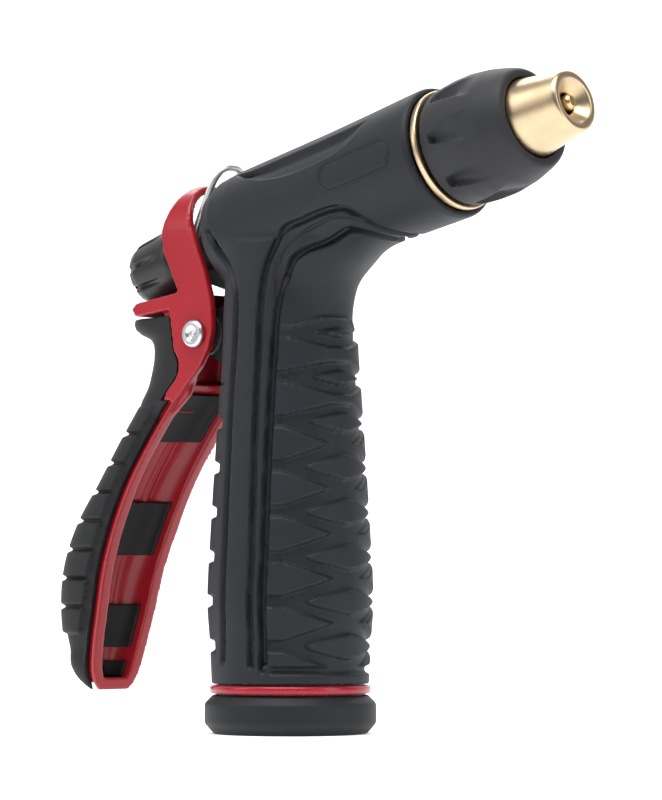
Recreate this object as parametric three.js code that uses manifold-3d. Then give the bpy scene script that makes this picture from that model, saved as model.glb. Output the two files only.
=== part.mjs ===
// Hose nozzle with a pistol grip, a rear lever and a twist tip.
// Millimetres. +X is forward (the way the water goes), +Z is up.
// The origin is on the axis of the hose inlet, in the plane of the base face.
import * as THREE from 'three';
import { mergeVertices } from 'three/addons/utils/BufferGeometryUtils.js';
import Module from 'manifold-3d';

const wasm = await Module();
wasm.setup();

// ---- driving dimensions ----
const GAP = 0.3; // clearance between pieces that touch
const BARREL_TILT = THREE.MathUtils.degToRad(14); // barrel axis above level
const BARREL_HEIGHT = 115.4; // barrel axis above the base, over the inlet
const PIVOT = { x: -19.3, z: 89.7 }; // lever rivet
const STEM_RADIUS = 2;
const STEM_BORE = STEM_RADIUS + GAP;
const HOSE_SOCKET_RADIUS = 13.3; // 3/4 inch garden hose thread, major radius
const WATER_RADIUS = 9; // passage in the grip
const GRIP_CORE_RADIUS = 12.6;
const BARREL_CORE_RADIUS = 12;
const CHAMBER_RADIUS = 8.5;
const SOCKET_WALL_RADIUS = 16.2;
const SOCKET_TOP = 13.3;
const GLAND_RADIUS = 4;
const LUG_HALF_WIDTH = 7;
const RIVET_RADIUS = 1.6;
const RIVET_HEAD_RADIUS = 3.15;
const RING_BORE = 16.5;
const KNOB_RADIUS = 8.4;
const INSERT_RADIUS = 3.6;
const FLANGE_RADIUS = 13.5; // brass ring in the mouth of the collar
const TIP_BODY_RADIUS = 9.8;
const PIN_RADIUS = 1.7; // end of the stem in the mouth of the tip
const NUB_REACH = 5.4; // inner ends of the arch bosses, from the middle
const TIP_BORE_RADIUS = 9.6;
const REAR_BOSS_RADIUS = 6.3;
const BOOT_RADIUS = 19.2;
const BOOT_HEIGHT = 8.7;
const RING_RADIUS = 18.05;
const JACKET_BOTTOM = 11.2;
const PLATE_OUTER = 10.8; // outer face of the lever's side plates, from the middle
const PLATE_THICKNESS = 1.8;
const ARCH_CENTRE = 113.4; // height where the legs of the arch turn into its crown
const CHANNEL_DEPTH = 8.5;
const EDGE_STRIP = 2.8; // painted edge of the channel, bare in front of the rubber
const PAD_SIDE = 1.5; // rubber on the sides of the channel
const LEVER_WALL = 1.6;

// Stations along the barrel axis, from where it crosses the inlet axis.
const BODY_REAR = -18.3;
const CORE_REAR = -15.5;
const CORE_FRONT = 45.5;
const CHAMBER_REAR = -12;
const SEAT_REAR = 25.7;
const BOSS_REAR = -26.5;
const GLAND_FRONT = -20;
const COLLAR_FRONT = 48.3;
const FLANGE_REAR = 48.6;
const CONE_REAR = 70.6;
const TIP_FACE = 84;
const CLIP_PIVOT = { s: -24.6, up: 1.2 };
const WIRE_RADIUS = 0.8; // hold-open clip
const NUB = { s: -29, up: 1.4, radius: 1.5 }; // bosses on the arch that push the knob back

// ---- geometry helpers ----

// A smooth curve through [height, value] pairs, read at any height.
function smooth(pairs) {
  return (h) => {
    const last = pairs.length - 1;
    if (h <= pairs[0][0]) return pairs[0][1];
    if (h >= pairs[last][0]) return pairs[last][1];
    let k = 0;
    while (pairs[k + 1][0] < h) k += 1;
    const slope = (i) => {
      const a = pairs[Math.max(i - 1, 0)];
      const b = pairs[Math.min(i + 1, last)];
      return (b[1] - a[1]) / (b[0] - a[0]);
    };
    const step = pairs[k + 1][0] - pairs[k][0];
    const t = (h - pairs[k][0]) / step;
    const rise = t * t * (3 - 2 * t);
    const leave = t * (1 - t) * (1 - t) * step * slope(k);
    const arrive = t * t * (t - 1) * step * slope(k + 1);
    return pairs[k][1] * (1 - rise) + pairs[k + 1][1] * rise + leave + arrive;
  };
}

function span(from, to, count) {
  return Array.from({ length: count + 1 }, (_, i) => from + ((to - from) * i) / count);
}

// The closed solid of a geometry, turned the right way out.
function solid(geometry) {
  const bare = new THREE.BufferGeometry();
  bare.setAttribute('position', geometry.getAttribute('position').clone());
  bare.setIndex(geometry.index);
  const merged = mergeVertices(bare, 1e-4);
  const vertProperties = new Float32Array(merged.getAttribute('position').array);
  const triVerts = [];
  const index = merged.index.array;
  for (let i = 0; i < index.length; i += 3) {
    const [a, b, c] = [index[i], index[i + 1], index[i + 2]];
    if (a !== b && b !== c && a !== c) triVerts.push(a, b, c);
  }
  const build = (tris) => new wasm.Manifold(
    new wasm.Mesh({ numProp: 3, vertProperties, triVerts: new Uint32Array(tris) }));
  const made = build(triVerts);
  if (made.volume() > 0) return made;
  const flipped = [];
  for (let i = 0; i < triVerts.length; i += 3) {
    flipped.push(triVerts[i], triVerts[i + 2], triVerts[i + 1]);
  }
  return build(flipped);
}

function geometryOf(manifold) {
  const mesh = manifold.getMesh();
  const geometry = new THREE.BufferGeometry();
  geometry.setAttribute('position', new THREE.BufferAttribute(new Float32Array(mesh.vertProperties), 3));
  geometry.setIndex(new THREE.BufferAttribute(new Uint32Array(mesh.triVerts), 1));
  geometry.computeVertexNormals();
  return geometry;
}

// A turned solid about Z from [radius, height] corners of its closed outline.
function turned(outline, sides) {
  const points = outline.map(([r, h]) => new THREE.Vector2(r, h));
  points.push(points[0].clone());
  return solid(new THREE.LatheGeometry(points, sides).rotateX(Math.PI / 2));
}

function rod(radius, from, to, sides) {
  return turned([[0, from], [radius, from], [radius, to], [0, to]], sides);
}

function tube(outer, inner, from, to, sides) {
  return turned([[inner, from], [outer, from], [outer, to], [inner, to]], sides);
}

// A rod along Y, centred on (x, z).
function crossRod(radius, x, z, from, to, sides) {
  const length = to - from;
  const geometry = new THREE.CylinderGeometry(radius, radius, length, sides);
  return solid(geometry.translate(x, from + length / 2, z));
}

// A closed skin through a row of rings: place(station, angle) gives a point of a ring.
function skin(stations, sides, place) {
  const rows = stations.length - 1;
  const turn = (2 * Math.PI) / sides;
  const geometry = new THREE.CylinderGeometry(1, 1, 1, sides, rows);
  const position = geometry.getAttribute('position');
  for (let i = 0; i < position.count; i += 1) {
    const [x, y, z] = [position.getX(i), position.getY(i), position.getZ(i)];
    const station = stations[Math.round((0.5 - y) * rows)];
    const step = Math.round(Math.atan2(x, z) / turn + sides) % sides;
    const capCentre = Math.hypot(x, z) < 0.5;
    const steps = capCentre ? span(0, sides - 1, sides - 1) : [step];
    const mean = [0, 0, 0];
    for (const k of steps) {
      place(station, k * turn).forEach((value, axis) => { mean[axis] += value / steps.length; });
    }
    position.setXYZ(i, ...mean);
  }
  return solid(geometry);
}

// A flat plate in the XZ plane, from one y to another.
function plate(corners, from, to) {
  const shape = new THREE.Shape(corners.map(([x, z]) => new THREE.Vector2(x, z)));
  const geometry = new THREE.ExtrudeGeometry(shape, { depth: to - from, bevelEnabled: false });
  return solid(geometry.rotateX(Math.PI / 2).translate(0, to, 0));
}

// A round wire along a curve.
function wire(curve, radius, steps, sides) {
  const ring = span(0, 2 * Math.PI, sides).slice(1)
    .map((a) => new THREE.Vector2(radius * Math.cos(a), radius * Math.sin(a)));
  const section = new THREE.Shape(ring);
  return solid(new THREE.ExtrudeGeometry(section, { steps, bevelEnabled: false, extrudePath: curve }));
}

function together(parts) {
  return parts.reduce((joined, part) => joined.add(part));
}

const toBarrel = new THREE.Matrix4()
  .makeRotationY(Math.PI / 2 - BARREL_TILT)
  .setPosition(0, 0, BARREL_HEIGHT);

// Moves a solid built along Z onto the barrel axis.
function onBarrel(part) {
  return solid(geometryOf(part).applyMatrix4(toBarrel));
}

// A point s along the barrel axis and up from it, in the middle plane.
function barrelPoint({ s, up }) {
  return {
    x: s * Math.cos(BARREL_TILT) - up * Math.sin(BARREL_TILT),
    z: BARREL_HEIGHT + s * Math.sin(BARREL_TILT) + up * Math.cos(BARREL_TILT),
  };
}

// ---- body ----

// Outside of the casting in the grip and the barrel, grown by a margin.
function coreShape(margin) {
  const grip = GRIP_CORE_RADIUS + margin;
  const foot = SOCKET_WALL_RADIUS + margin;
  const barrel = BARREL_CORE_RADIUS + margin;
  const [rear, front] = [CORE_REAR - margin, CORE_FRONT + margin];
  return turned([[0, 9.3], [foot, 9.3], [foot, 15 + margin], [grip, 19 + margin], [grip, 108], [0, 108]], 36)
    .add(onBarrel(turned([[0, rear], [barrel - 3, rear], [barrel, rear + 3], [barrel, front], [0, front]], 36)));
}

function pivotLug() {
  const { x, z } = PIVOT;
  const web = plate([[x - 1.5, z - 4.4], [-9, z - 9], [-9, z + 9], [x - 1.5, z + 4.4]], -5.6, 5.6);
  return crossRod(4.6, x, z, -LUG_HALF_WIDTH, LUG_HALF_WIDTH, 20).add(web);
}

function bodyCasting() {
  const socket = turned([[0, 1.6], [SOCKET_WALL_RADIUS, 1.6], [SOCKET_WALL_RADIUS, 10], [0, 10]], 36);
  const boss = onBarrel(rod(REAR_BOSS_RADIUS, BOSS_REAR, 0, 24));
  const outside = together([coreShape(0), socket, boss, pivotLug()]);
  const waterway = turned([[0, 0], [HOSE_SOCKET_RADIUS, 0], [HOSE_SOCKET_RADIUS, SOCKET_TOP],
    [WATER_RADIUS, SOCKET_TOP], [WATER_RADIUS, 112], [0, 112]], 32);
  const bores = onBarrel(turned([[0, -30], [GLAND_RADIUS, -30], [GLAND_RADIUS, GLAND_FRONT],
    [STEM_RADIUS + GAP, GLAND_FRONT], [STEM_RADIUS + GAP, CHAMBER_REAR], [CHAMBER_RADIUS, CHAMBER_REAR],
    [CHAMBER_RADIUS, SEAT_REAR], [TIP_BORE_RADIUS, SEAT_REAR], [TIP_BORE_RADIUS, 50], [0, 50]], 32));
  const clipAt = barrelPoint(CLIP_PIVOT);
  const clipHoles = crossRod(WIRE_RADIUS + GAP, clipAt.x, clipAt.z, -8, 8, 12);
  const rivetHole = crossRod(RIVET_RADIUS + GAP, PIVOT.x, PIVOT.z, -9, 9, 16);
  return [waterway, bores, clipHoles, rivetHole].reduce((left, cut) => left.subtract(cut), outside);
}

const gripRadius = smooth([[JACKET_BOTTOM, 17.6], [20, 18], [30, 18.6], [45, 17.9], [60, 17],
  [75, 16], [85, 15.3], [95, 15], [110, 14]]);
const gripFront = smooth([[80, 15.6], [90, 16.2], [96, 18.4], [101, 22.5], [105, 29], [109, 40]]);

function gripSkin() {
  const heights = [JACKET_BOTTOM, 14, 22, 30, 38, 46, 54, 62, 70, 80, 87, 92, 96, 99, 102, 105, 109];
  return skin(heights, 36, (z, angle) => {
    const radius = gripRadius(z);
    const bulge = z > 80 ? gripFront(z) - radius : 0;
    const forward = Math.cos(angle);
    return [radius * forward + bulge * Math.max(forward, 0) ** 6, radius * Math.sin(angle), z];
  });
}

function barrelSkin() {
  return onBarrel(turned([[0, BODY_REAR], [8, BODY_REAR], [11, -16.6], [13, -13], [13.9, -8], [14, 6],
    [14.1, 20], [14.4, 33], [14.7, 43], [14.8, 47.4], [14.4, COLLAR_FRONT], [0, COLLAR_FRONT]], 36));
}

function gripJacket() {
  const rearOpening = REAR_BOSS_RADIUS + GAP;
  const openings = onBarrel(turned([[0, -30], [rearOpening, -30], [rearOpening, 0], [BARREL_CORE_RADIUS, 0],
    [BARREL_CORE_RADIUS, 45], [13.3, 46.2], [FLANGE_RADIUS + GAP, 50], [0, 50]], 36));
  const { x, z } = PIVOT;
  const slot = LUG_HALF_WIDTH + 0.4;
  const lugSlot = plate([[x - 8, z - 11], [0, z - 11], [0, z + 11], [x - 8, z + 11]], -slot, slot);
  const foot = rod(SOCKET_WALL_RADIUS + GAP, 0, 12, 36);
  return [coreShape(GAP), openings, lugSlot, foot]
    .reduce((left, cut) => left.subtract(cut), gripSkin().add(barrelSkin()));
}

function baseBoot() {
  return turned([[15.2, 0], [BOOT_RADIUS - 2.1, 0], [BOOT_RADIUS, 2.5], [BOOT_RADIUS, 6.8],
    [BOOT_RADIUS - 1.9, BOOT_HEIGHT], [RING_BORE, BOOT_HEIGHT], [RING_BORE, 1.3], [15.2, 1.3]], 36);
}

function baseRing() {
  const [low, high] = [BOOT_HEIGHT + GAP, JACKET_BOTTOM - GAP];
  return turned([[RING_BORE, low], [RING_RADIUS - 0.5, low], [RING_RADIUS, low + 0.6],
    [RING_RADIUS, high - 0.6], [RING_RADIUS - 0.5, high], [RING_BORE, high]], 36);
}

// ---- lever ----

// Seen from the side, by height: front edge of the channel, back of the rubber, half width.
const channelFront = smooth([[8.8, -55.2], [13.4, -54.5], [20.4, -52.9], [27.3, -51.1],
  [36.5, -48.8], [45.5, -45.2], [54.5, -40.7], [62, -35.8], [72.7, -27.4], [79, -21.3]]);
const padRear = smooth([[8.8, -59.5], [11.5, -63.6], [16, -66.6], [22, -68.8], [31, -69.3],
  [39, -67.6], [48, -62.8], [57, -55.4], [66, -48.8], [76, -41.6], [82, -39.2], [87, -38.9], [93, -40]]);
const leverHalfWidth = smooth([[8.8, 4.6], [10.4, 6.2], [13.4, 7.7], [20.4, 8.8], [27.3, 9.4],
  [36.5, 10], [47, 10.6], [60, PLATE_OUTER], [94, PLATE_OUTER]]);

// A lever solid by height: flat across the front, rounded across the back.
function leverBlock(heights, frontAt, rearAt, halfAt, sides) {
  const flat = Math.PI / 3;
  return skin(heights, sides, (z, turn) => {
    const angle = turn > Math.PI ? turn - 2 * Math.PI : turn;
    const away = Math.abs(angle);
    if (away < flat) return [frontAt(z), (halfAt(z) * angle) / flat, z];
    const bend = ((away - flat) / (Math.PI - flat)) * (Math.PI / 2);
    const across = Math.sign(angle) * Math.cos(bend) ** 0.8;
    return [frontAt(z) + (rearAt(z) - frontAt(z)) * Math.sin(bend) ** 0.8, halfAt(z) * across, z];
  });
}

const CHANNEL_HEIGHTS = [10.4, 13.4, 20, 28, 36, 45, 54, 62, 70, 79];

function channel() {
  const rim = leverBlock([8.8, ...CHANNEL_HEIGHTS], channelFront, (z) => channelFront(z) - EDGE_STRIP,
    leverHalfWidth, 24);
  const tub = leverBlock(CHANNEL_HEIGHTS, channelFront, (z) => channelFront(z) - CHANNEL_DEPTH,
    (z) => leverHalfWidth(z) - PAD_SIDE, 24);
  const hollow = leverBlock([11.6, 13.4, 20, 28, 36, 45, 54, 62, 70, 80], (z) => channelFront(z) + 2,
    (z) => channelFront(z) - CHANNEL_DEPTH + LEVER_WALL, (z) => leverHalfWidth(z) - PAD_SIDE - LEVER_WALL, 24);
  return rim.add(tub).subtract(hollow);
}

// Side plate round the rivet with the leg of the arch above it, seen from the side.
const SIDE_PLATE = [[-25.5, 74.8], [-21.5, 78.8], [-17.8, 82.6], [-15.4, 86.4], [-14.1, 91],
  [-14.5, 97], [-16.4, 103.5], [-18.8, 109], [-20.8, 113.6], [-30.2, 113.6], [-29.6, 109.2],
  [-27.3, 104.5], [-25, 99.9], [-27.6, 95.5], [-26.9, 91], [-26.2, 86.5], [-24.6, 83.6],
  [-24.9, 80.6], [-28.3, 77], [-29.4, 75]];
const LEDGE = [[-26, 95.8], [-25, 99.4], [-38.2, 97.4], [-39.4, 96], [-38.4, 94.3], [-28.6, 95.4]];
const TUB_TOP = [[-23, 76], [-21, 80], [-24.2, 96.5], [-30.6, 96.5], [-30.6, 86], [-31.6, 80],
  [-34.5, 74], [-30, 70]];
const TUB_TOP_HOLLOW = [[-8, 70], [-8, 94], [-28.9, 94], [-28.9, 86], [-29.9, 80], [-33, 73.5],
  [-30, 66]];

// The crown of the arch: half a ring over the stem, narrowing to its middle.
function crown() {
  const inner = PLATE_OUTER - PLATE_THICKNESS;
  return skin(span(0, Math.PI, 12), 4, (turn, angle) => {
    const corner = Math.round(angle / (Math.PI / 2));
    const radius = corner < 2 ? PLATE_OUTER : inner;
    const rise = Math.sin(turn);
    const x = corner === 0 || corner === 3 ? -20.8 - 3 * rise : -30.2 + 3.4 * rise;
    return [x, -radius * Math.cos(turn), ARCH_CENTRE + radius * rise];
  });
}

function nubs() {
  const { x, z } = barrelPoint(NUB);
  const root = PLATE_OUTER - PLATE_THICKNESS + 0.5;
  return crossRod(NUB.radius, x, z, -root, -NUB_REACH, 14).add(crossRod(NUB.radius, x, z, NUB_REACH, root, 14));
}

function leverShell() {
  const innerFace = PLATE_OUTER - PLATE_THICKNESS;
  const tubHalf = PLATE_OUTER - PAD_SIDE;
  const tubTop = plate(TUB_TOP, -tubHalf, tubHalf)
    .subtract(plate(TUB_TOP_HOLLOW, -tubHalf + LEVER_WALL, tubHalf - LEVER_WALL));
  const shell = together([channel(), plate(SIDE_PLATE, -PLATE_OUTER, -innerFace),
    plate(SIDE_PLATE, innerFace, PLATE_OUTER), plate(LEDGE, -PLATE_OUTER, PLATE_OUTER), tubTop,
    crown(), nubs()]);
  const knobRoom = onBarrel(rod(KNOB_RADIUS + 2 * GAP, -60, -31, 28));
  return shell.subtract(knobRoom)
    .subtract(crossRod(RIVET_RADIUS + GAP, PIVOT.x, PIVOT.z, -12, 12, 16));
}

const PAD_BEHIND_PLATE = [[-10, 74.4], [-10, 100], [-28.2, 100], [-27.9, 95.3], [-27.2, 91],
  [-26.5, 86.4], [-25, 83.5], [-25.3, 80.5], [-28.7, 77], [-30.4, 75]];
const PAD_BEHIND_TUB = [[-18, 68], [-18, 98], [-30.9, 98], [-30.9, 86], [-31.9, 80], [-34.9, 74], [-31, 68]];

function leverPad() {
  const frontAt = (z) => (z < 78 ? channelFront(z) - EDGE_STRIP - GAP : -24.5);
  const block = leverBlock([8.8, 10.4, 13.4, 18, 24, 31, 39, 48, 57, 66, 74, 78, 82, 87, 91, 93],
    frontAt, padRear, (z) => leverHalfWidth(z) - 0.1, 28);
  const tub = leverBlock([7, ...CHANNEL_HEIGHTS], (z) => channelFront(z) + 1,
    (z) => channelFront(z) - CHANNEL_DEPTH - GAP, (z) => leverHalfWidth(z) - PAD_SIDE + GAP, 24);
  const tubHalf = PLATE_OUTER - PAD_SIDE + GAP;
  return block.subtract(tub).subtract(plate(PAD_BEHIND_TUB, -tubHalf, tubHalf))
    .subtract(plate(PAD_BEHIND_PLATE, -12, -tubHalf + 0.5))
    .subtract(plate(PAD_BEHIND_PLATE, tubHalf - 0.5, 12));
}

function pivotRivet() {
  const face = PLATE_OUTER + GAP;
  const { x, z } = PIVOT;
  return together([crossRod(RIVET_RADIUS, x, z, -face - 0.1, face + 0.1, 16),
    crossRod(RIVET_HEAD_RADIUS, x, z, -face - 1.1, -face, 24),
    crossRod(RIVET_HEAD_RADIUS, x, z, face, face + 1.1, 24)]);
}

// Wire bail: a foot in each side of the rear boss, two legs that lean together, a round closed end.
function holdOpenClip() {
  const { x, z } = barrelPoint(CLIP_PIVOT);
  const [footY, legY] = [4.4, 6.8];
  const top = { x: -18, z: 128 };
  const at = (share, y) => new THREE.Vector3(x + (top.x - x) * share, y, z + (top.z - z) * share);
  const side = (sign) => [at(0, sign * footY), at(0, sign * 5.6), at(0, sign * 6.5), at(0.06, sign * legY),
    at(0.2, sign * 6.6), at(0.55, sign * 5.7), at(0.8, sign * 4.9), at(0.93, sign * 3.6), at(0.985, sign * 2)];
  const route = [...side(-1), at(1, 0), ...side(1).reverse()];
  return wire(new THREE.CatmullRomCurve3(route, false, 'centripetal'), WIRE_RADIUS, 44, 7);
}

// ---- valve, all built along Z and placed on the barrel axis ----

class Helix extends THREE.Curve {
  constructor(radius, from, to, turns) {
    super();
    Object.assign(this, { radius, from, to, turns });
  }

  getPoint(t) {
    const a = 2 * Math.PI * this.turns * t;
    return new THREE.Vector3(this.radius * Math.cos(a), this.radius * Math.sin(a),
      this.from + (this.to - this.from) * t);
  }
}

function valveStem() {
  return turned([[0, -44.5], [STEM_RADIUS - 0.4, -44.5], [STEM_RADIUS, -44], [STEM_RADIUS, 75],
    [PIN_RADIUS, 76], [PIN_RADIUS, 82.6], [1.1, 83.3], [0, 83.3]], 20);
}

function valvePlug() {
  return turned([[STEM_BORE, 20], [6.2, 20], [6.2, 23.6], [4, 25.6], [STEM_BORE, 25.6]], 24);
}

function glandNut() {
  const shank = tube(GLAND_RADIUS - GAP, STEM_BORE, -27, -22.7, 20);
  return shank.add(tube(5.2, STEM_BORE, -28, BOSS_REAR - GAP, 6));
}

function adjusterKnob() {
  const bore = INSERT_RADIUS + GAP;
  return turned([[bore, -31.8], [8, -31.8], [KNOB_RADIUS, -33], [8, -39], [7.6, -43.5], [6.6, -45.6],
    [5, -46.5], [0, -46.5], [0, -45.3], [STEM_BORE, -45.3], [STEM_BORE, -39.3], [bore, -39.3]], 28);
}

function tipNozzle() {
  return turned([[6.8, 31], [9.3, 31], [9.3, 32.7], [7.6, 32.7], [7.6, 35.3], [9.3, 35.3],
    [9.3, FLANGE_REAR], [FLANGE_RADIUS, FLANGE_REAR], [FLANGE_RADIUS, 50.2], [TIP_BODY_RADIUS, 50.2],
    [TIP_BODY_RADIUS, CONE_REAR], [8.8, CONE_REAR], [8.7, 72], [6.85, 83.5], [6.35, TIP_FACE],
    [5.2, TIP_FACE], [2.3, 81.5], [2.3, 79], [6.8, 70]], 28);
}

function tipSleeve() {
  const bore = TIP_BODY_RADIUS + GAP;
  return turned([[bore, 50.6], [12.7, 50.6], [13.3, 52.5], [13.7, 57], [13.7, 61], [13, 66], [11.9, 70],
    [11.2, 71.6], [10.3, 72.3], [9.1, 72.3], [9.1, CONE_REAR + GAP], [bore, CONE_REAR + GAP]], 28);
}

// ---- the parts in their groups ----

const finishes = {
  casting: { color: 0x3b3c40, roughness: 0.5, metalness: 0.3 },
  jacket: { color: 0x34373d, roughness: 0.75, metalness: 0 },
  boot: { color: 0x2b2d31, roughness: 0.7, metalness: 0 },
  redPaint: { color: 0xaa2235, roughness: 0.3, metalness: 0 },
  rubber: { color: 0x2c2d30, roughness: 0.8, metalness: 0 },
  plastic: { color: 0x2b2a2e, roughness: 0.5, metalness: 0 },
  brass: { color: 0xd0b070, roughness: 0.35, metalness: 1 },
  steel: { color: 0xc4c5c9, roughness: 0.3, metalness: 1 },
};

function group(parts) {
  const made = new THREE.Group();
  for (const [name, finish, manifold] of parts) {
    const mesh = new THREE.Mesh(geometryOf(manifold), new THREE.MeshStandardMaterial(finishes[finish]));
    mesh.name = name;
    made.add(mesh);
  }
  return made;
}

const body = group([
  ['body_casting', 'casting', bodyCasting()],
  ['grip_jacket', 'jacket', gripJacket()],
  ['base_boot', 'boot', baseBoot()],
  ['base_ring', 'redPaint', baseRing()],
  ['hose_washer', 'rubber', tube(12.9, 8.2, 10.2, SOCKET_TOP - GAP, 28)],
  ['hold_open_clip', 'steel', holdOpenClip()],
]);

const lever = group([
  ['lever_shell', 'redPaint', leverShell()],
  ['lever_pad', 'rubber', leverPad()],
  ['pivot_rivet', 'steel', pivotRivet()],
]);

const valve = group([
  ['valve_stem', 'brass', valveStem()],
  ['valve_plug', 'rubber', valvePlug()],
  ['plug_washer', 'brass', tube(5, STEM_BORE, 18.2, 19.7, 24)],
  ['stem_clip', 'steel', tube(4.7, STEM_BORE, 10.6, 11.8, 20)],
  ['return_spring', 'steel', wire(new Helix(3.7, -11.1, 10.1, 7), 0.45, 70, 5)],
  ['valve_seat', 'brass', tube(TIP_BORE_RADIUS - GAP, 4.6, SEAT_REAR + GAP, 29, 24)],
  ['gland_packing', 'rubber', tube(GLAND_RADIUS - GAP, STEM_BORE, GLAND_FRONT - 2.4, GLAND_FRONT - GAP, 20)],
  ['gland_nut', 'brass', glandNut()],
  ['thrust_washer', 'steel', tube(7.2, STEM_BORE, -31.5, -30.8, 24)],
  ['adjuster_knob', 'plastic', adjusterKnob()],
  ['knob_insert', 'brass', tube(INSERT_RADIUS, STEM_BORE, -39, -32.2, 20)],
  ['tip_nozzle', 'brass', tipNozzle()],
  ['tip_sleeve', 'rubber', tipSleeve()],
  ['tip_oring', 'rubber', turned([[7.9, 33.4], [8.4, 33], [8.9, 33.1], [9.3, 34], [8.9, 34.9], [8.4, 35],
    [7.9, 34.6]], 20)],
]);
valve.rotation.y = Math.PI / 2 - BARREL_TILT;
valve.position.z = BARREL_HEIGHT;

const nozzle = new THREE.Group();
nozzle.add(body, lever, valve);
export default nozzle;
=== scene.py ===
"""Pistol-grip hose nozzle with a rear lever: the finished surfaces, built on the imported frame."""
import math

import bmesh
import bpy
import numpy as np
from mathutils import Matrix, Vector
from mathutils.kdtree import KDTree


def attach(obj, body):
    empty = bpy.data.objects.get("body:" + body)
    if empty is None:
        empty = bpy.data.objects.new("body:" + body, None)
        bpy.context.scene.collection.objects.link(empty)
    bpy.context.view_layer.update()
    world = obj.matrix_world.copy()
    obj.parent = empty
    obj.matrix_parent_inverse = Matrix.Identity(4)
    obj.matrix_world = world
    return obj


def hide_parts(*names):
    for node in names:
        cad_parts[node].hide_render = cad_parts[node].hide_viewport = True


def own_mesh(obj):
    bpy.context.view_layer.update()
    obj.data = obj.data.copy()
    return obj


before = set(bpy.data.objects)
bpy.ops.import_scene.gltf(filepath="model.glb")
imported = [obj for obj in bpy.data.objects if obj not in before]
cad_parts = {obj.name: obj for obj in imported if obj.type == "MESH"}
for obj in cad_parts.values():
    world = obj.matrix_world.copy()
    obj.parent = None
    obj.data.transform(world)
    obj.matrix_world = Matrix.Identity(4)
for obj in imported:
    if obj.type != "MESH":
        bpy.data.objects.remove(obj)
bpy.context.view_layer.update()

# ---- driving sizes, in millimetres ----

MM = 0.001
GAP = 0.3
BARREL_TILT = math.radians(14)
BARREL_HEIGHT = 115.4
PIVOT_X, PIVOT_Z = -19.3, 89.7
GRIP_CORE, BARREL_CORE, SOCKET_WALL = 12.6, 12.0, 16.2
HOSE_SOCKET, SOCKET_TOP, WATERWAY = 13.3, 13.3, 9.0
BODY_REAR, COLLAR_FRONT = -18.3, 48.3
JACKET_BOTTOM, BOOT_HEIGHT, BOOT_RADIUS = 11.2, 8.7, 19.2
RING_RADIUS, RING_BORE = 18.05, 16.5
PLATE_OUTER, PLATE_THICKNESS, ARCH_CENTRE = 10.8, 1.8, 113.4
CHANNEL_DEPTH, EDGE_STRIP, PAD_SIDE, LEVER_WALL = 8.5, 2.8, 1.5, 1.6
CLIP_S, CLIP_UP, WIRE_RADIUS = -24.6, 1.2, 0.8
STEM_BORE = 2.3
THREAD_PITCH, THREAD_DEPTH = 2.21, 0.6

ALONG = np.array([math.cos(BARREL_TILT), 0.0, math.sin(BARREL_TILT)])
UPWARD = np.array([-math.sin(BARREL_TILT), 0.0, math.cos(BARREL_TILT)])
BARREL_ORIGIN = np.array([0.0, 0.0, BARREL_HEIGHT])


def barrel_point(s, up, y=0.0):
    """A point s along the barrel axis, up from it and y to the side."""
    return BARREL_ORIGIN + s * ALONG + up * UPWARD + np.array([0.0, y, 0.0])


# ---- curves and easing ----


def smooth_curve(pairs):
    """A smooth curve through (place, value) pairs, read at any place."""
    table = np.array(pairs, float)
    places, values = table[:, 0], table[:, 1]
    last = len(places) - 1
    slopes = [(values[min(i + 1, last)] - values[max(i - 1, 0)])
              / (places[min(i + 1, last)] - places[max(i - 1, 0)]) for i in range(last + 1)]
    slopes = np.array(slopes)

    def read(place):
        h = np.clip(np.asarray(place, float), places[0], places[-1])
        k = np.clip(np.searchsorted(places, h, side="right") - 1, 0, last - 1)
        step = places[k + 1] - places[k]
        t = (h - places[k]) / step
        rise = t * t * (3 - 2 * t)
        bend = t * (1 - t) ** 2 * slopes[k] + t * t * (t - 1) * slopes[k + 1]
        return values[k] * (1 - rise) + values[k + 1] * rise + step * bend

    return read


def ease(value, low, high):
    """0 below low, 1 above high and a smooth rise between."""
    t = np.clip((np.asarray(value, float) - low) / (high - low), 0, 1)
    return t * t * (3 - 2 * t)


def spline(points, count):
    """A smooth line through the points, as count evenly placed points."""
    points = np.array(points, float)
    reach = np.concatenate([[0], np.cumsum(np.linalg.norm(np.diff(points, axis=0), axis=1))])
    at = np.linspace(0, reach[-1], count)
    return np.stack([smooth_curve(np.stack([reach, points[:, k]], 1))(at)
                     for k in range(points.shape[1])], 1)


# ---- meshes ----


def new_piece(name, points, faces):
    """A mesh object from points in millimetres, faces pointing out."""
    data = bpy.data.meshes.new(name)
    data.from_pydata([tuple(p) for p in np.asarray(points, float) * MM], [], faces)
    work = bmesh.new()
    work.from_mesh(data)
    bmesh.ops.remove_doubles(work, verts=work.verts, dist=1e-7)
    bmesh.ops.recalc_face_normals(work, faces=work.faces)
    work.to_mesh(data)
    work.free()
    piece = bpy.data.objects.new(name, data)
    bpy.context.scene.collection.objects.link(piece)
    return piece


def grid_faces(rows, columns, close_rows=False):
    """Quads of a grid of rows whose columns run round in a ring."""
    faces = []
    for i in range(rows if close_rows else rows - 1):
        a, b = i * columns, ((i + 1) % rows) * columns
        for j in range(columns):
            k = (j + 1) % columns
            faces.append((a + j, a + k, b + k, b + j))
    return faces


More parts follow.
